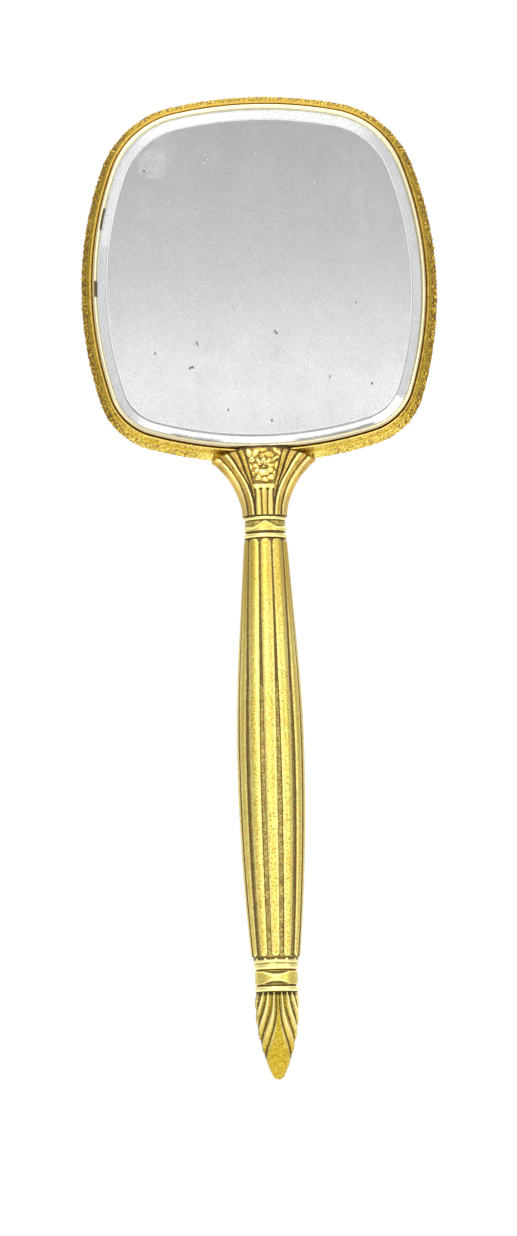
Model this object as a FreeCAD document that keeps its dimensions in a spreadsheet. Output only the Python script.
import FreeCAD, Part
import math
import os
import Sketcher

# Hand mirror: bevelled glass in a beaded rim on a stacked column handle.
# Frame: +Z up along the handle, glass facing -Y, +X to the right of a person looking at the glass,
# origin at the tip of the finial on the handle's axis.  Millimetres.
# Depths named *_front are measured towards the viewer (-Y); those named *_back and *_start
# are measured to the rear (+Y).  "inset" values are distances inward from the rim's outer edge.

Vector = FreeCAD.Vector
doc = FreeCAD.newDocument("hand_mirror")
sheet = doc.addObject("Spreadsheet::Sheet", "dims")

# (alias, number) or (alias, sum of products of earlier aliases)
CELLS = [
    # shared allowances
    ("joint_gap", 0.05), ("bore_gap", 0.04), ("overrun", 1.0),
    # handle stack, from the finial up
    ("rod_radius", 2.0), ("rod_low", 14.0), ("rod_top", 195.4),
    ("finial_top", 31.2), ("finial_top_radius", 7.72), ("finial_belly", 26.8),
    ("finial_belly_radius", 7.9), ("finial_arc", 57.0), ("finial_nose", 1.1),
    ("finial_nose_radius", 1.85), ("finial_nose_arc", 2.2), ("finial_bore_low", 13.2),
    ("low_collar_low", "finial_top + joint_gap"), ("low_collar_top", 43.6),
    ("low_collar_flange", 8.35), ("low_collar_waist", 8.1), ("low_collar_band", 7.9),
    ("low_collar_groove", 7.3), ("low_collar_bead", 7.85), ("low_collar_bead_arc", 1.1),
    ("low_collar_recess", 6.0), ("low_recess_top", 36.6),
    ("washer_thick", 0.8), ("washer_radius", 5.6), ("low_nut_low", 32.5),
    ("nut_corner_radius", 4.04), ("nut_thick", 3.2), ("lock_nut_low", 182.7),
    ("grip_low", "low_collar_top + joint_gap"), ("grip_top", 194.4),
    ("grip_low_radius", 8.75), ("grip_top_radius", 7.7),
    ("belly_level", 115.0), ("belly_radius", 12.06), ("grip_low_arc", 769.5), ("grip_high_arc", 520.0),
    ("cone_level", 153.0), ("cone_radius", 10.67), ("grip_wall", 2.1),
    ("reeds", 12), ("flute_radius", 0.9), ("flute_sink", 0.1),
    ("flute_low_trim", 0.09), ("flute_top_trim", 0.07),
    ("bush_gap", 0.08), ("upper_bush_low", 186.2), ("upper_bush_top", 194.0),
    ("upper_bush_low_radius", 6.05), ("upper_bush_top_radius", 5.5),
    ("lower_bush_low", 44.2), ("lower_bush_top", 52.2),
    ("lower_bush_low_radius", 6.6), ("lower_bush_top_radius", 7.15),
    ("collar_low", "grip_top + joint_gap"), ("collar_top", 202.35), ("collar_bore", 4.35),
    ("collar_counterbore", 5.6), ("collar_step", 199.3), ("collar_bead", 7.95),
    ("collar_bead_arc", 0.85), ("collar_foot_bead", 7.8), ("collar_foot_bead_arc", 1.0),
    ("collar_band", 7.5), ("collar_groove", 7.15),
    # outer outline of the head: eight tangent arcs
    ("half_wide", 64.5), ("waist_level", 285.3), ("head_top", 356.6), ("head_foot", 222.7),
    ("side_arc", 132.0), ("top_arc", 151.0), ("foot_arc", 146.5),
    ("top_corner", 35.4), ("foot_corner", 25.3),
    # rim section
    ("rim_front", 4.7), ("rim_inner_front", 4.5), ("rim_back", 6.0), ("rim_widest_back", 5.0),
    ("rim_crown_inset", 3.3), ("rim_bore_inset", 4.0), ("rim_cavity_inset", 2.2),
    ("rim_lip_inset", 3.4), ("rim_lip_face", 5.2), ("rim_back_inset", 0.7), ("rim_flank_arc", 13.6),
    # bezel section
    ("bezel_outer_inset", 4.1), ("bezel_wall", 0.6), ("bezel_tail_front", 0.05),
    ("bezel_lip_step", 0.05), ("bead_crest_front", 6.0), ("bead_root_front", 4.9),
    ("bead_lip_front", 3.85), ("bead_inner_inset", 6.0), ("bead_crest_inset", 5.05),
    ("bead_outer_arc", 1.35), ("bead_inner_arc", 1.9),
    # glass and what lies behind it
    ("glass_inset", 4.9), ("glass_front", 4.4), ("glass_thick", 3.0),
    ("bevel_wide", 4.6), ("bevel_drop", 0.9), ("coat_inset", 5.1), ("coat_thick", 0.15),
    ("card_inset", 5.0), ("card_front", 1.2), ("card_thick", 1.15),
    ("clip_front_gap", 0.05), ("clip_thick", 0.6), ("clip_long", 6.0), ("clip_wide", 9.0),
    ("clip_inset", 2.5), ("clip_foot_extra", 1.2), ("clip_side_extra", 1.6), ("clip_rise", 16.0),
    ("clip_side_x", "half_wide - clip_inset - clip_long / 2 - clip_side_extra"),
    ("pad_inset", 3.7), ("pad_start", 0.7), ("pad_thick", 3.35),
    ("plate_inset", 2.4), ("plate_start", 4.1), ("plate_thick", 1.0),
    ("panel_inset", 8.0), ("panel_rise", 1.9), ("panel_round", 1.2), ("panel_wall", 1.5),
    # capital
    ("neck_base", "collar_top + joint_gap"), ("neck_spigot", 3.0), ("spigot_radius", 5.5),
    ("fan_arc", 34.0), ("fan_reach", 30.0), ("fan_drop", 18.0), ("fan_crest", 227.8),
    ("fan_clear_front", 6.1), ("crest_cut_front", 20.0), ("crest_cut_half", 45.0),
    ("crest_cut_top", 240.0), ("room_gap", 0.08), ("room_slack", 0.06), ("room_inset", 8.5),
    # tang, its rivets and the capital's screws
    ("stem_half", 3.4), ("stem_deep_half", 2.4), ("stem_in_boss", 2.0), ("stem_in_foot", 0.3),
    ("boss_radius", 4.2), ("boss_low", 186.0), ("boss_top", 198.6), ("tap_spare", 0.5),
    ("foot_half", 8.6), ("foot_thick", 1.5), ("foot_back", 3.8), ("foot_gap", 0.06),
    ("tang_gap", 0.15), ("cavity_half", 9.0), ("cavity_back", 4.2),
    ("cavity_low", 218.4), ("cavity_top", 224.5),
    ("tang_rivet_x", 6.2), ("tang_rivet_back", 1.6), ("tang_rivet_radius", 1.0),
    ("tang_rivet_head", 1.7), ("tang_rivet_long", 5.6), ("rivet_drop", 2.3),
    ("rivet_low_thick", 0.7), ("rivet_top_thick", 0.75), ("rivet_top_rise", 2.55),
    ("rivet_top_trim", 0.2), ("rim_cut_drop", 2.0), ("rim_cut_long", 8.0),
    ("foot_cut_drop", 6.0), ("foot_cut_long", 10.0),
    ("screw_low", 206.4), ("screw_high", 213.0), ("screw_radius", 1.0), ("screw_head_radius", 2.0),
    ("screw_head_thick", 0.9), ("screw_head_back", 6.6), ("screw_tip_front", 5.0),
    ("screw_tip_gap", 0.2), ("screw_slot", 0.5), ("slot_open", 0.1),
    ("rear_cut_deep", 20.0), ("seat_cut_deep", 5.0), ("stem_cut_deep", 8.8),
]

# cross-sections of the capital, from the bottom up: (letter, level, half width, depth each way)
NECK_STATIONS = [
    ("a", "neck_base", 8.0, 8.0),
    ("b", 207.8, 9.0, 7.9),
    ("c", 212.1, 10.7, 7.9),
    ("d", 216.5, 13.2, 7.9),
    ("e", 219.6, 16.3, 7.9),
    ("f", 222.6, 20.6, 7.9),
    ("g", 228.6, 33.0, 7.9),
]
for letter, *station in NECK_STATIONS:
    for word, entry in zip(("level", "half", "deep"), station):
        CELLS.append(("sec_%s_%s" % (letter, word), entry))

SIZES = {}


def is_number(word):
    return word[0].isdigit() or word[0] == "."


def val(text):
    """The value of a sum of products such as 'a - 2 * b', words separated by spaces."""
    total, sign, term, operator = 0.0, 1.0, None, "*"
    for word in str(text).split() + ["+"]:
        if word in "+-":
            if term is not None:
                total += sign * term
            sign = -1.0 if word == "-" else 1.0
            term, operator = None, "*"
        elif word in "*/":
            operator = word
        else:
            number = float(word) if is_number(word) else SIZES[word]
            if term is None:
                term = number
            else:
                term = term * number if operator == "*" else term / number
    return total


def cell(text):
    """The same sum as an expression on the spreadsheet's aliases."""
    return " ".join(w if (w in "+-*/" or is_number(w)) else "dims." + w for w in text.split())


for row, (alias, entry) in enumerate(CELLS, 1):
    SIZES[alias] = val(entry)
    sheet.set("A%d" % row, alias)
    sheet.set("B%d" % row, "=" + entry if isinstance(entry, str) else str(entry))
    sheet.setAlias("B%d" % row, alias)
doc.recompute()


# ---------------------------------------------------------------- sketches


def bind(obj, prop, text):
    obj.setExpression(prop, cell(text))


def new_body(label):
    body = doc.addObject("PartDesign::Body", label)
    body.Label = label
    return body


def origin_feature(body, role):
    return [f for f in body.Origin.OriginFeatures if f.Role == role][0]


def new_sketch(body, name, plane, offset=None):
    """Sketch on an origin plane; offset runs along its normal (XZ: towards the viewer)."""
    sketch = body.newObject("Sketcher::SketchObject", body.Name + "_" + name)
    sketch.AttachmentSupport = [(origin_feature(body, plane), "")]
    sketch.MapMode = "FlatFace"
    if offset is not None:
        bind(sketch, ".AttachmentOffset.Base.z", offset)
    return sketch


def datum(sketch, kind, *args):
    """A dimension whose last argument is an expression."""
    expression = args[-1]
    index = sketch.addConstraint(Sketcher.Constraint(kind, *args[:-1], val(expression)))
    sketch.setExpression("Constraints[%d]" % index, cell(expression))


def join(sketch, geo, end, other, other_end):
    sketch.addConstraint(Sketcher.Constraint("Coincident", geo, end, other, other_end))


def pin_point(sketch, geo, pos, x, y):
    """Fix one point of the sketch at (x, y)."""
    for text, kind, axis in ((x, "DistanceX", -2), (y, "DistanceY", -1)):
        if abs(val(text)) < 1e-9:
            sketch.addConstraint(Sketcher.Constraint("PointOnObject", geo, pos, axis))
        else:
            datum(sketch, kind, -1, 1, geo, pos, text)


def arc_about(x, y, radius, angle0, angle1):
    return Part.ArcOfCircle(Part.Circle(Vector(x, y, 0), Vector(0, 0, 1), radius), angle0, angle1)


def arc_between(start, end, radius, side):
    """Arc with its centre on the left (+1) or right (-1) of the way from start to end."""
    chord = end - start
    rise = math.sqrt(radius * radius - (chord.Length / 2) ** 2)
    centre = (start + end) * 0.5 + Vector(-chord.y, chord.x, 0) * (side * rise / chord.Length)
    first, last = (start, end) if side > 0 else (end, start)
    angle0 = math.atan2(first.y - centre.y, first.x - centre.x)
    angle1 = math.atan2(last.y - centre.y, last.x - centre.x)
    if angle1 < angle0:
        angle1 += 2 * math.pi
    return arc_about(centre.x, centre.y, radius, angle0, angle1)


def add_path(sketch, points, closed):
    """Edges through (x, y) points; a third entry (radius, side) bends the edge that leaves
    the point, side being that of arc_between."""
    where = [Vector(val(p[0]), val(p[1]), 0) for p in points]
    count = len(points) if closed else len(points) - 1
    ends = []
    for i in range(count):
        start, end = where[i], where[(i + 1) % len(points)]
        if len(points[i]) > 2:
            radius, side = points[i][2]
            geo = sketch.addGeometry(arc_between(start, end, val(radius), side), False)
            ends.append((geo, 1, 2) if side > 0 else (geo, 2, 1))
            datum(sketch, "Radius", geo, radius)
        else:
            geo = sketch.addGeometry(Part.LineSegment(start, end), False)
            ends.append((geo, 1, 2))
    for i in range(count):
        geo, first, last = ends[i]
        if closed or i < count - 1:
            after = ends[(i + 1) % count]
            join(sketch, geo, last, after[0], after[1])
        pin_point(sketch, geo, first, points[i][0], points[i][1])
    if not closed:
        pin_point(sketch, ends[-1][0], ends[-1][2], points[-1][0], points[-1][1])


def add_loop(sketch, points):
    add_path(sketch, points, closed=True)


def add_box(sketch, x0, y0, x1, y1):
    add_loop(sketch, [(x0, y0), (x1, y0), (x1, y1), (x0, y1)])


def add_circle(sketch, x, y, radius):
    circle = Part.Circle(Vector(val(x), val(y), 0), Vector(0, 0, 1), val(radius))
    geo = sketch.addGeometry(circle, False)
    datum(sketch, "Radius", geo, radius)
    pin_point(sketch, geo, 3, x, y)


def add_segment(sketch, half, deep, side):
    """Circular segment on the x axis, given by two aliases, bulging to +y (1) or -y (-1)."""
    half_size, deep_size = val(half), val(deep)
    radius = (half_size * half_size + deep_size * deep_size) / (2 * deep_size)
    tilt = math.atan2(radius - deep_size, half_size)
    turn = 0.0 if side > 0 else math.pi
    arc = sketch.addGeometry(
        arc_about(0, side * (deep_size - radius), radius, turn + tilt, turn + math.pi - tilt), False)
    right, left = (1, 2) if side > 0 else (2, 1)
    ends = Vector(-half_size, 0, 0), Vector(half_size, 0, 0)
    line = sketch.addGeometry(Part.LineSegment(*ends), False)
    join(sketch, line, 1, arc, left)
    join(sketch, line, 2, arc, right)
    for end in (1, 2):
        sketch.addConstraint(Sketcher.Constraint("PointOnObject", line, end, -1))
    ratio = "%s * %s / 2 / %s" % (half, half, deep)
    datum(sketch, "Radius", arc, "%s + %s / 2" % (ratio, deep))
    centre = "%s / 2 - %s" % (deep, ratio) if side > 0 else "%s - %s / 2" % (ratio, deep)
    pin_point(sketch, arc, 3, "0", centre)


def corner_arc(wide, tall, side, crown, corner):
    """Centre and joint angles of a corner arc tangent to the side and crown arcs of a quarter."""
    side_x, crown_z = wide - side, tall - crown
    side_reach, crown_reach = side - corner, crown - corner

    def miss(angle):
        x = side_x + side_reach * math.cos(angle)
        z = side_reach * math.sin(angle)
        return math.hypot(x, z - crown_z) - crown_reach

    low, high = 0.0, math.pi / 2
    low_miss = miss(low)
    for _ in range(80):
        middle = (low + high) / 2
        if low_miss * miss(middle) <= 0:
            high = middle
        else:
            low, low_miss = middle, miss(middle)
    angle = (low + high) / 2
    x, z = side_x + side_reach * math.cos(angle), side_reach * math.sin(angle)
    return x, z, angle, math.atan2(z - crown_z, x)


def outline_sketch(body, name, offset=None, grow=""):
    """The head's outline on the XZ plane, grown by `grow` (negative words shrink it):
    eight arcs sharing the outer edge's centres, counter-clockwise from the top."""
    sketch = new_sketch(body, name, "XZ_Plane", offset)
    half_wide, waist = SIZES["half_wide"], SIZES["waist_level"]
    head_top, head_foot = SIZES["head_top"], SIZES["head_foot"]
    side, top, foot = SIZES["side_arc"], SIZES["top_arc"], SIZES["foot_arc"]
    top_x, top_z, top_side, top_crown = corner_arc(
        half_wide, head_top - waist, side, top, SIZES["top_corner"])
    foot_x, foot_z, foot_side, foot_crown = corner_arc(
        half_wide, waist - head_foot, side, foot, SIZES["foot_corner"])
    pi = math.pi
    # centre x, centre z, radius, start angle, end angle
    arcs = [
        (0, head_top - top, "top_arc", top_crown, pi - top_crown),
        (-top_x, waist + top_z, "top_corner", pi - top_crown, pi - top_side),
        (side - half_wide, waist, "side_arc", pi - top_side, pi + foot_side),
        (-foot_x, waist - foot_z, "foot_corner", pi + foot_side, pi + foot_crown),
        (0, head_foot + foot, "foot_arc", pi + foot_crown, 2 * pi - foot_crown),
        (foot_x, waist - foot_z, "foot_corner", 2 * pi - foot_crown, 2 * pi - foot_side),
        (half_wide - side, waist, "side_arc", -foot_side, top_side),
        (top_x, waist + top_z, "top_corner", top_side, top_crown),
    ]
    geos = sketch.addGeometry(
        [arc_about(x, z, SIZES[radius] + val(grow), *angles) for x, z, radius, *angles in arcs], False)
    for i in range(8):
        sketch.addConstraint(Sketcher.Constraint("Tangent", geos[i], 2, geos[(i + 1) % 8], 1))
    for geo, arc in zip(geos, arcs):
        datum(sketch, "Radius", geo, arc[2] + " " + grow if grow else arc[2])
    pin_point(sketch, geos[0], 3, "0", "head_top - top_arc")
    pin_point(sketch, geos[4], 3, "0", "head_foot + foot_arc")
    pin_point(sketch, geos[2], 3, "side_arc - half_wide", "waist_level")
    pin_point(sketch, geos[6], 3, "half_wide - side_arc", "waist_level")
    return sketch


# ---------------------------------------------------------------- features


def pad(body, sketch, length, reverse=False, name="pad"):
    doc.recompute()
    feature = body.newObject("PartDesign::Pad", body.Name + "_" + name)
    feature.Profile = sketch
    bind(feature, "Length", length)
    feature.Reversed = reverse
    doc.recompute()
    return feature


def pocket(body, sketch, length, name, reverse=False):
    """Pocket that must take material away; it cuts against the sketch's normal."""
    doc.recompute()
    before = body.Shape.Volume
    feature = body.newObject("PartDesign::Pocket", body.Name + "_" + name)
    feature.Profile = sketch
    bind(feature, "Length", length)
    feature.Reversed = reverse
    doc.recompute()
    if not feature.Shape.Volume < before - 1e-3:
        raise RuntimeError(feature.Name + " cuts nothing")


def pipe(body, kind, profile, spine, name="pipe"):
    doc.recompute()
    feature = body.newObject("PartDesign::" + kind, body.Name + "_" + name)
    feature.Profile = profile
    feature.Spine = (spine, [])
    doc.recompute()
    return feature


def loft(body, name, sections, ruled):
    doc.recompute()
    feature = body.newObject("PartDesign::AdditiveLoft", body.Name + "_" + name)
    feature.Profile = sections[0]
    feature.Sections = sections[1:]
    feature.Ruled = ruled
    doc.recompute()


def revolve(body, sketch):
    feature = body.newObject("PartDesign::Revolution", body.Name + "_turned")
    feature.Profile = sketch
    feature.ReferenceAxis = (origin_feature(body, "Z_Axis"), [""])
    feature.Angle = 360.0
    doc.recompute()


def turned(label, points):
    """A piece of revolution about the handle's axis from a closed (radius, level) outline."""
    body = new_body(label)
    sketch = new_sketch(body, "section", "XZ_Plane")
    add_loop(sketch, points)
    revolve(body, sketch)
    return body


def place(obj, x, y, z):
    for letter, text in (("x", x), ("y", y), ("z", z)):
        if abs(val(text)) > 1e-9:
            bind(obj, ".Placement.Base." + letter, text)


def cylinder(name, radius, height, x, y, z, tilt=None):
    obj = doc.addObject("Part::Cylinder", name)
    bind(obj, "Radius", radius)
    bind(obj, "Height", height)
    if tilt is not None:
        obj.Placement = FreeCAD.Placement(Vector(0, 0, 0), tilt)
    place(obj, x, y, z)
    return obj


def box(name, length, width, height, x, y, z):
    obj = doc.addObject("Part::Box", name)
    bind(obj, "Length", length)
    bind(obj, "Width", width)
    bind(obj, "Height", height)
    place(obj, x, y, z)
    return obj


def gathered(kind, label, objects):
    """Compound, MultiFuse or Cut (base, tool) of the objects."""
    obj = doc.addObject("Part::" + kind, label)
    if kind == "Compound":
        obj.Links = objects
    elif kind == "MultiFuse":
        obj.Shapes = objects
    else:
        obj.Base, obj.Tool = objects
    obj.Label = label
    return obj


# ---------------------------------------------------------------- head: rim and bezel

TOP = "head_top - "


def ring(label, points):
    """A ring swept round the head.  Section points are (depth, level) on the YZ plane,
    at the middle of the top edge; depth is negative in front."""
    body = new_body(label)
    spine = outline_sketch(body, "path")
    section = new_sketch(body, "section", "YZ_Plane")
    add_loop(section, points)
    pipe(body, "AdditivePipe", section, spine)
    return body


def add_rivet_holes(sketch):
    for x in ("tang_rivet_x", "0 - tang_rivet_x"):
        add_circle(sketch, x, "tang_rivet_back", "tang_rivet_radius + bore_gap")


def make_rim():
    rim = ring("rim_frame", [
        ("0 - rim_inner_front", TOP + "rim_bore_inset"),
        ("0 - rim_front", TOP + "rim_crown_inset", ("rim_flank_arc", -1)),
        ("rim_widest_back", "head_top"),
        ("rim_back", TOP + "rim_back_inset"),
        ("rim_back", TOP + "rim_lip_inset"),
        ("rim_lip_face", TOP + "rim_lip_inset"),
        ("rim_lip_face", TOP + "rim_cavity_inset"),
        ("0", TOP + "rim_cavity_inset"),
        ("0", TOP + "rim_bore_inset"),
    ])
    # two rivet holes through the bottom wall, for the tang's foot
    holes = new_sketch(rim, "rivet_holes", "XY_Plane", "head_foot - rim_cut_drop")
    add_rivet_holes(holes)
    pocket(rim, holes, "rim_cut_long", "rivet_pocket", reverse=True)
    return rim


def make_bezel():
    """Thin sleeve inside the rim, ending in front in a bead that laps over the glass."""
    return ring("glass_bezel", [
        ("0 - bezel_tail_front", TOP + "bezel_outer_inset"),
        ("0 - bead_root_front", TOP + "bezel_outer_inset", ("bead_outer_arc", -1)),
        ("0 - bead_crest_front", TOP + "bead_crest_inset", ("bead_inner_arc", -1)),
        ("0 - bead_lip_front", TOP + "bead_inner_inset"),
        ("0 - bead_lip_front + bezel_lip_step", TOP + "bezel_outer_inset - bezel_wall"),
        ("0 - bezel_tail_front", TOP + "bezel_outer_inset - bezel_wall"),
    ])


# ---------------------------------------------------------------- head: glass and backing


def make_glass():
    """Plate glass: a full-thickness field with a bevel falling to the edge."""
    glass = new_body("mirror_glass")
    bevel_foot = "glass_front - bevel_drop"
    edge = outline_sketch(glass, "edge", bevel_foot, "- glass_inset")
    pad(glass, edge, "glass_thick - bevel_drop", reverse=True)
    low = outline_sketch(glass, "bevel_foot", bevel_foot, "- glass_inset")
    high = outline_sketch(glass, "bevel_top", "glass_front", "- glass_inset - bevel_wide")
    loft(glass, "bevel", [low, high], ruled=True)
    return glass


def make_sheet(label, inset, front, thick):
    """A flat sheet of the head's outline whose front face lies `front` ahead of y = 0."""
    body = new_body(label)
    sketch = outline_sketch(body, "outline", front, "- " + inset)
    pad(body, sketch, thick, reverse=True)
    return body


def make_clips():
    """Six flat tabs behind the card, on the rim's inner ledge: two per side, one top, one foot."""
    foot_z = "head_foot + clip_inset + clip_long / 2 + clip_foot_extra"
    high_z, low_z = "waist_level + clip_rise", "waist_level - clip_rise"
    # name, centre x, centre z, width, height
    table = (
        ("tab_top", "0", "head_top - clip_inset - clip_long / 2", "clip_wide", "clip_long"),
        ("tab_foot", "0", foot_z, "clip_wide", "clip_long"),
        ("tab_right_high", "clip_side_x", high_z, "clip_long", "clip_wide"),
        ("tab_right_low", "clip_side_x", low_z, "clip_long", "clip_wide"),
        ("tab_left_high", "0 - clip_side_x", high_z, "clip_long", "clip_wide"),
        ("tab_left_low", "0 - clip_side_x", low_z, "clip_long", "clip_wide"),
    )
    tabs = [
        box(name, wide, "clip_thick", tall,
            x + " - " + wide + " / 2", "clip_front_gap", z + " - " + tall + " / 2")
        for name, x, z, wide, tall in table
    ]
    return gathered("Compound", "glass_clips", tabs)


def make_back_plate():
    """A border held under the rim's rear lip and a raised flat panel, hollow from inside."""
    plate = new_body("back_plate")
    border = outline_sketch(plate, "border", "0 - plate_start", "- plate_inset")
    pad(plate, border, "plate_thick", reverse=True)
    panel = outline_sketch(plate, "panel", "0 - plate_start - plate_thick", "- panel_inset")
    raised = pad(plate, panel, "panel_rise", reverse=True, name="panel_pad")
    rear = val("plate_start + plate_thick + panel_rise")
    soften = plate.newObject("PartDesign::Fillet", "back_plate_round")
    soften.Base = (raised, [
        "Edge%d" % number for number, edge in enumerate(plate.Shape.Edges, 1)
        if all(abs(vertex.Point.y - rear) < 1e-6 for vertex in edge.Vertexes)])
    bind(soften, "Radius", "panel_round")
    plate.Tip = soften
    doc.recompute()
    hollow = outline_sketch(plate, "hollow", "0 - plate_start", "- panel_inset - panel_wall")
    pocket(plate, hollow, "panel_rise", "hollow_pocket")
    return plate


# ---------------------------------------------------------------- capital


def add_screw_circles(sketch, radius):
    for level in ("screw_low", "screw_high"):
        add_circle(sketch, "0", level, radius)


def cut_crest(body):
    """Take away everything above the arc of the fan."""
    crest = new_sketch(body, "crest", "XZ_Plane", "crest_cut_front")
    shoulder = "fan_crest - fan_drop"
    add_loop(crest, [
        ("0 - fan_reach", shoulder, ("fan_arc", -1)),
        ("fan_reach", shoulder),
        ("crest_cut_half", shoulder),
        ("crest_cut_half", "crest_cut_top"),
        ("0 - crest_cut_half", "crest_cut_top"),
        ("0 - crest_cut_half", shoulder),
    ])
    pocket(body, crest, "2 * crest_cut_front", "crest_pocket")


def cut_rim_channel(body):
    """Room for the rim and the bead, which pass between the two castings."""
    spine = outline_sketch(body, "path")
    room = new_sketch(body, "rim_room", "YZ_Plane")
    add_loop(room, [
        ("0 - fan_clear_front", TOP + "room_inset"),
        ("0 - fan_clear_front", TOP + "rim_bore_inset + room_gap"),
        ("0 - rim_front - room_gap", TOP + "rim_bore_inset + room_gap"),
        ("0 - rim_front - room_gap", TOP + "rim_crown_inset + room_slack", ("rim_flank_arc", -1)),
        ("rim_widest_back", "head_top + room_gap"),
        ("rim_back + room_slack", TOP + "rim_back_inset + room_gap"),
        ("rim_back + room_slack", TOP + "room_inset"),
    ])
    pipe(body, "SubtractivePipe", room, spine, name="rim_channel")


def cut_tang_room(body, front):
    """Channel for the tang's stem, and the wider room for its foot and rivet heads."""
    stem_deep = "stem_deep_half + tang_gap"
    stem = new_sketch(body, "stem_room", "XZ_Plane")
    add_box(stem, "0 - stem_half - tang_gap", "neck_base - neck_spigot - overrun",
            "stem_half + tang_gap", "cavity_low + overrun")
    pocket(body, stem, stem_deep, "stem_pocket", reverse=front)
    foot = new_sketch(body, "foot_room", "XZ_Plane")
    add_box(foot, "0 - cavity_half", "cavity_low", "cavity_half", "cavity_top")
    pocket(body, foot, stem_deep if front else "cavity_back", "foot_pocket", reverse=front)


def cut_screw_holes(body, front):
    """Clear through the rear casting with a counterbore, blind in the front one."""
    bores = new_sketch(body, "screw_bores", "XZ_Plane")
    add_screw_circles(bores, "screw_radius + bore_gap")
    deep = "screw_tip_front + screw_tip_gap" if front else "rear_cut_deep"
    pocket(body, bores, deep, "screw_bore_pocket", reverse=front)
    if not front:
        seats = new_sketch(body, "screw_seats", "XZ_Plane", "0 - screw_head_back")
        add_screw_circles(seats, "screw_head_radius + bore_gap")
        pocket(body, seats, "seat_cut_deep", "screw_seat_pocket")


def make_neck_half(label, side):
    """One casting of the capital: side -1 is the front (towards -Y), +1 the rear."""
    body = new_body(label)
    sections = []
    for letter, *_ in NECK_STATIONS:
        sketch = new_sketch(body, "section_" + letter, "XY_Plane", "sec_%s_level" % letter)
        add_segment(sketch, "sec_%s_half" % letter, "sec_%s_deep" % letter, side)
        sections.append(sketch)
    loft(body, "loft", sections, ruled=False)
    cut_crest(body)
    cut_rim_channel(body)
    # half-round spigot that enters the upper collar with that of the other casting
    spigot = new_sketch(body, "spigot", "XY_Plane", "neck_base")
    add_segment(spigot, "spigot_radius", "spigot_radius", side)
    pad(body, spigot, "neck_spigot", reverse=True, name="spigot_pad")
    cut_tang_room(body, front=side < 0)
    cut_screw_holes(body, front=side < 0)
    return body


def make_screws():
    """Two slotted screws, entered from the rear."""
    screws = []
    forward = FreeCAD.Rotation(Vector(1, 0, 0), 90)  # turns +Z towards the viewer
    head_face = "screw_head_back + screw_head_thick"
    for name, level in (("screw_a", "screw_low"), ("screw_b", "screw_high")):
        shank = cylinder(name + "_shank", "screw_radius", "screw_head_back + screw_tip_front",
                         "0", "screw_head_back", level, forward)
        head = cylinder(name + "_head", "screw_head_radius", "screw_head_thick",
                        "0", head_face, level, forward)
        slot = box(name + "_slot", "4 * screw_head_radius", "screw_slot", "screw_slot",
                   "0 - 2 * screw_head_radius", head_face + " - screw_slot + slot_open",
                   level + " - screw_slot / 2")
        whole = gathered("MultiFuse", name + "_whole", [shank, head])
        screws.append(gathered("Cut", name, [whole, slot]))
    return gathered("Compound", "neck_screws", screws)


# ---------------------------------------------------------------- tang


def add_foot_crescent(sketch):
    """Two arcs about the centre of the rim's bottom arc, closed by upright ends."""
    centre_z = val("head_foot + foot_arc")
    radii = ("foot_arc + foot_gap", "foot_arc + foot_gap + foot_thick")
    spread = math.asin(SIZES["foot_half"] / val(radii[0]))
    down = 1.5 * math.pi
    inner, outer = [
        sketch.addGeometry(arc_about(0, centre_z, val(radius), down - spread, down + spread), False)
        for radius in radii]

    def arc_end(radius, side):
        reach = val(radius)
        return Vector(side * reach * math.sin(spread), centre_z - reach * math.cos(spread), 0)

    left, right = [
        sketch.addGeometry(Part.LineSegment(*[arc_end(radius, side) for radius in radii]), False)
        for side in (-1, 1)]
    for line, arc_pos in ((left, 1), (right, 2)):
        join(sketch, line, 1, inner, arc_pos)
        join(sketch, line, 2, outer, arc_pos)
    pin_point(sketch, inner, 3, "0", "head_foot + foot_arc")
    join(sketch, inner, 3, outer, 3)
    datum(sketch, "Radius", inner, radii[0])
    datum(sketch, "Radius", outer, radii[1])
    for line, x in ((left, "0 - foot_half"), (right, "foot_half")):
        sketch.addConstraint(Sketcher.Constraint("Vertical", line))
        datum(sketch, "DistanceX", -1, 1, line, 1, x)


def make_tang():
    """A foot under the rim, a flat stem and a round boss bored for the tie rod."""
    tang = new_body("handle_tang")
    stem = new_sketch(tang, "stem", "XZ_Plane", "stem_deep_half")
    add_box(stem, "0 - stem_half", "boss_top - stem_in_boss",
            "stem_half", "head_foot - foot_gap - foot_thick + stem_in_foot")
    pad(tang, stem, "2 * stem_deep_half", reverse=True, name="stem_pad")
    boss = new_sketch(tang, "boss", "XY_Plane", "boss_low")
    add_circle(boss, "0", "0", "boss_radius")
    pad(tang, boss, "boss_top - boss_low", name="boss_pad")
    foot = new_sketch(tang, "foot", "XZ_Plane", "stem_deep_half")
    add_foot_crescent(foot)
    pad(tang, foot, "stem_deep_half + foot_back", reverse=True, name="foot_pad")
    tap = new_sketch(tang, "tap", "XY_Plane", "boss_low")
    add_circle(tap, "0", "0", "rod_radius + bore_gap")
    pocket(tang, tap, "rod_top - boss_low + tap_spare", "tap_pocket", reverse=True)
    screw_bores = new_sketch(tang, "screw_bores", "XZ_Plane", "stem_deep_half + overrun")
    add_screw_circles(screw_bores, "screw_radius + bore_gap")
    pocket(tang, screw_bores, "stem_cut_deep", "screw_pocket")
    rivet_bores = new_sketch(tang, "rivet_bores", "XY_Plane", "head_foot - foot_cut_drop")
    add_rivet_holes(rivet_bores)
    pocket(tang, rivet_bores, "foot_cut_long", "rivet_pocket", reverse=True)
    return tang


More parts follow.
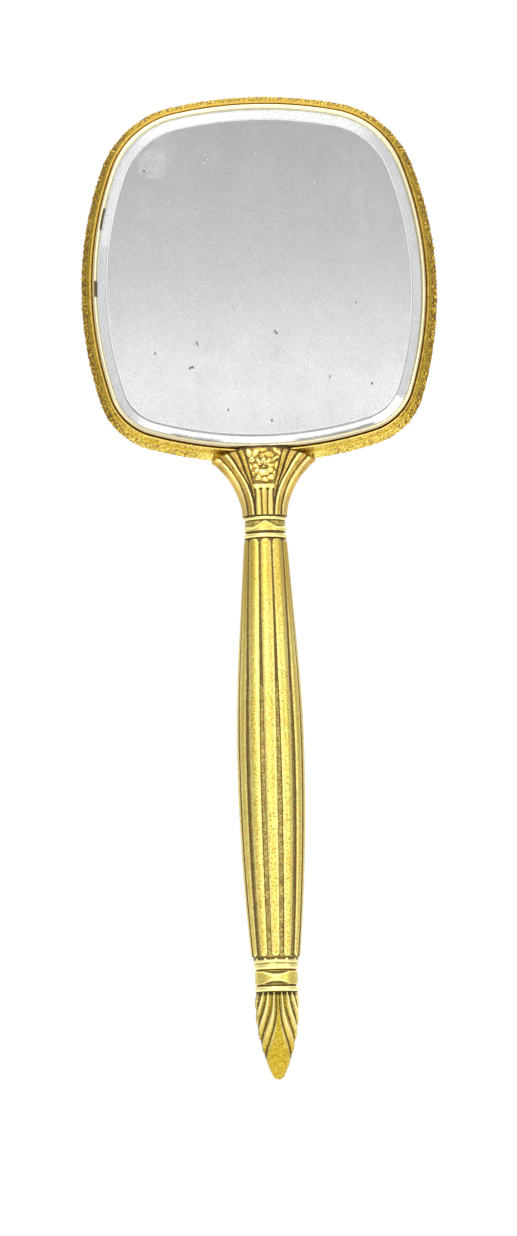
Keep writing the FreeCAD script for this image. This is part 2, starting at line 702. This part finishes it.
def make_rivets():
    """Two rivets: shank through the foot and the rim wall, a head at each end."""
    rivets = []
    low_z = "head_foot - rivet_drop"
    for name, x in (("rivet_right", "tang_rivet_x"), ("rivet_left", "0 - tang_rivet_x")):
        # suffix, radius, height, level
        table = (
            ("_shank", "tang_rivet_radius", "tang_rivet_long", low_z),
            ("_low", "tang_rivet_head", "rivet_low_thick", low_z),
            ("_top", "tang_rivet_head - rivet_top_trim", "rivet_top_thick",
             "head_foot + rivet_top_rise"),
        )
        pieces = [cylinder(name + suffix, radius, height, x, "tang_rivet_back", z)
                  for suffix, radius, height, z in table]
        rivets.append(gathered("MultiFuse", name, pieces))
    return gathered("Compound", "tang_rivets", rivets)


# ---------------------------------------------------------------- handle stack on the tie rod


def make_rod():
    rod = new_body("tie_rod")
    end = new_sketch(rod, "end", "XY_Plane", "rod_low")
    add_circle(end, "0", "0", "rod_radius")
    pad(rod, end, "rod_top - rod_low")
    return rod


def bored(label, blank, bore_name, thick, low):
    """The blank with a clearance hole for the rod."""
    bore = cylinder(bore_name, "rod_radius + bore_gap", thick + " + 2 * overrun",
                    "0", "0", low + " - overrun")
    return gathered("Cut", label, [blank, bore])


def make_nut(label, low):
    prism = doc.addObject("Part::Prism", label + "_blank")
    prism.Polygon = 6
    bind(prism, "Circumradius", "nut_corner_radius")
    bind(prism, "Height", "nut_thick")
    place(prism, "0", "0", low)
    return bored(label, prism, label + "_bore", "nut_thick", low)


def make_washer():
    low = "low_recess_top - washer_thick"
    blank = cylinder("washer_blank", "washer_radius", "washer_thick", "0", "0", low)
    return bored("rod_washer", blank, "washer_bore", "washer_thick", low)


def make_upper_collar():
    """Two beads with a plain band between; the counterbore on top takes the capital's spigot.
    Each bead is an arc that bulges out from a root a little inside its radius."""
    return turned("upper_collar", [
        ("collar_bore", "collar_low"),
        ("collar_foot_bead - 0.35", "collar_low", ("collar_foot_bead_arc", 1)),
        ("collar_foot_bead - 0.35", "collar_low + 1.7"),
        ("collar_groove", "collar_low + 1.9"),
        ("collar_groove", "collar_low + 2.3"),
        ("collar_band", "collar_low + 2.5"),
        ("collar_band", "collar_top - 1.6"),
        ("collar_groove + 0.1", "collar_top - 1.45"),
        ("collar_bead - 0.3", "collar_top - 1.3", ("collar_bead_arc", 1)),
        ("collar_bead - 0.3", "collar_top"),
        ("collar_counterbore", "collar_top"),
        ("collar_counterbore", "collar_step"),
        ("collar_bore", "collar_step"),
    ])


def make_grip():
    """A barrel tube, widest just below its middle, with flutes that leave reeds between them."""
    grip = new_body("grip_sleeve")
    barrel = new_sketch(grip, "section", "XZ_Plane")
    add_loop(barrel, [
        ("grip_low_radius - grip_wall", "grip_low"),
        ("grip_low_radius", "grip_low", ("grip_low_arc", 1)),
        ("belly_radius", "belly_level", ("grip_high_arc", 1)),
        ("cone_radius", "cone_level"),
        ("grip_top_radius", "grip_top"),
        ("grip_top_radius - grip_wall", "grip_top"),
        ("cone_radius - grip_wall", "cone_level", ("grip_high_arc", -1)),
        ("belly_radius - grip_wall", "belly_level", ("grip_low_arc", -1)),
    ])
    revolve(grip, barrel)

    # the first flute is turned half a pitch from +X, so that one reed faces the viewer
    half_pitch = 180 / SIZES["reeds"]
    flute_foot = "grip_low_radius + flute_sink - flute_low_trim"
    track = new_sketch(grip, "flute_path", "XZ_Plane")
    track.AttachmentOffset = FreeCAD.Placement(
        Vector(0, 0, 0), FreeCAD.Rotation(Vector(0, 1, 0), half_pitch))
    add_path(track, [
        (flute_foot, "grip_low - overrun", ("grip_low_arc", 1)),
        ("belly_radius + flute_sink", "belly_level", ("grip_high_arc", 1)),
        ("cone_radius + flute_sink", "cone_level"),
        ("grip_top_radius + flute_sink - flute_top_trim", "grip_top + overrun"),
    ], closed=False)
    mouth = new_sketch(grip, "flute_section", "XY_Plane")
    mouth.AttachmentOffset = FreeCAD.Placement(
        Vector(0, 0, 0), FreeCAD.Rotation(Vector(0, 0, 1), half_pitch))
    bind(mouth, ".AttachmentOffset.Base.z", "grip_low - overrun")
    add_circle(mouth, flute_foot, "0", "flute_radius")
    plain = grip.Shape.Volume
    flute = pipe(grip, "SubtractivePipe", mouth, track, name="flute")
    if not flute.Shape.Volume < plain - 10:
        raise RuntimeError("the flute cuts nothing")

    around = grip.newObject("PartDesign::PolarPattern", "grip_sleeve_around")
    around.Originals = [flute]
    around.Axis = (origin_feature(grip, "Z_Axis"), [""])
    around.Angle = 360.0
    bind(around, "Occurrences", "reeds")
    grip.Tip = around
    doc.recompute()
    if not grip.Shape.Volume < plain - (SIZES["reeds"] - 1) * (plain - flute.Shape.Volume):
        raise RuntimeError("the flutes are not repeated")
    return grip


def make_bush(label, bore):
    """Tapered bush inside one end of the grip."""
    return turned(label, [
        (bore + " + bush_gap", label + "_low"),
        (label + "_low_radius", label + "_low"),
        (label + "_top_radius", label + "_top"),
        (bore + " + bush_gap", label + "_top"),
    ])


def make_lower_collar():
    """Flared flange, band and bead; the recess below houses the washer and nut."""
    return turned("lower_collar", [
        ("rod_radius + bore_gap", "low_recess_top"),
        ("low_collar_recess", "low_recess_top"),
        ("low_collar_recess", "low_collar_low"),
        ("low_collar_bead - 0.3", "low_collar_low", ("low_collar_bead_arc", 1)),
        ("low_collar_bead - 0.3", "low_collar_low + 1.9"),
        ("low_collar_groove", "low_collar_low + 2.2"),
        ("low_collar_groove", "low_collar_low + 2.7"),
        ("low_collar_band", "low_collar_low + 3"),
        ("low_collar_band", "low_collar_top - 4.5"),
        ("low_collar_groove", "low_collar_top - 4.3"),
        ("low_collar_groove", "low_collar_top - 4"),
        ("low_collar_waist", "low_collar_top - 3.8"),
        ("low_collar_flange", "low_collar_top - 0.5"),
        ("low_collar_flange - 0.4", "low_collar_top"),
        ("rod_radius + bore_gap", "low_collar_top"),
    ])


def make_finial():
    """A bud that swells below the collar and closes in a blunt tip, bored for the rod."""
    return turned("finial", [
        ("0", "0", ("finial_nose_arc", 1)),
        ("finial_nose_radius", "finial_nose", ("finial_arc", 1)),
        ("finial_belly_radius", "finial_belly"),
        ("finial_top_radius", "finial_top"),
        ("rod_radius + bore_gap", "finial_top"),
        ("rod_radius + bore_gap", "finial_bore_low"),
        ("0", "finial_bore_low"),
    ])


# ---------------------------------------------------------------- build, check and write
parts = [
    make_rim(),
    make_bezel(),
    make_glass(),
    make_sheet("silver_coat", "coat_inset", "glass_front - glass_thick", "coat_thick"),
    make_sheet("backing_card", "card_inset", "card_front", "card_thick"),
    make_sheet("padding_sheet", "pad_inset", "0 - pad_start", "pad_thick"),
    make_clips(),
    make_back_plate(),
    make_neck_half("neck_front", -1),
    make_neck_half("neck_rear", 1),
    make_screws(),
    make_tang(),
    make_rivets(),
    make_rod(),
    make_nut("lock_nut", "lock_nut_low"),
    make_upper_collar(),
    make_grip(),
    make_bush("upper_bush", "boss_radius"),
    make_bush("lower_bush", "rod_radius"),
    make_lower_collar(),
    make_washer(),
    make_nut("rod_nut", "low_nut_low"),
    make_finial(),
]

doc.recompute()
for obj in doc.Objects:
    if "Invalid" in obj.State or "Error" in obj.State:
        raise RuntimeError("failed object: %s %s" % (obj.Name, obj.State))
for obj in parts:
    if obj.Shape.isNull() or not obj.Shape.isValid() or not obj.Shape.Solids:
        raise RuntimeError("bad shape: " + obj.Label)

os.makedirs("parts", exist_ok=True)
for obj in parts:
    obj.Shape.exportStep("parts/%s.step" % obj.Label)
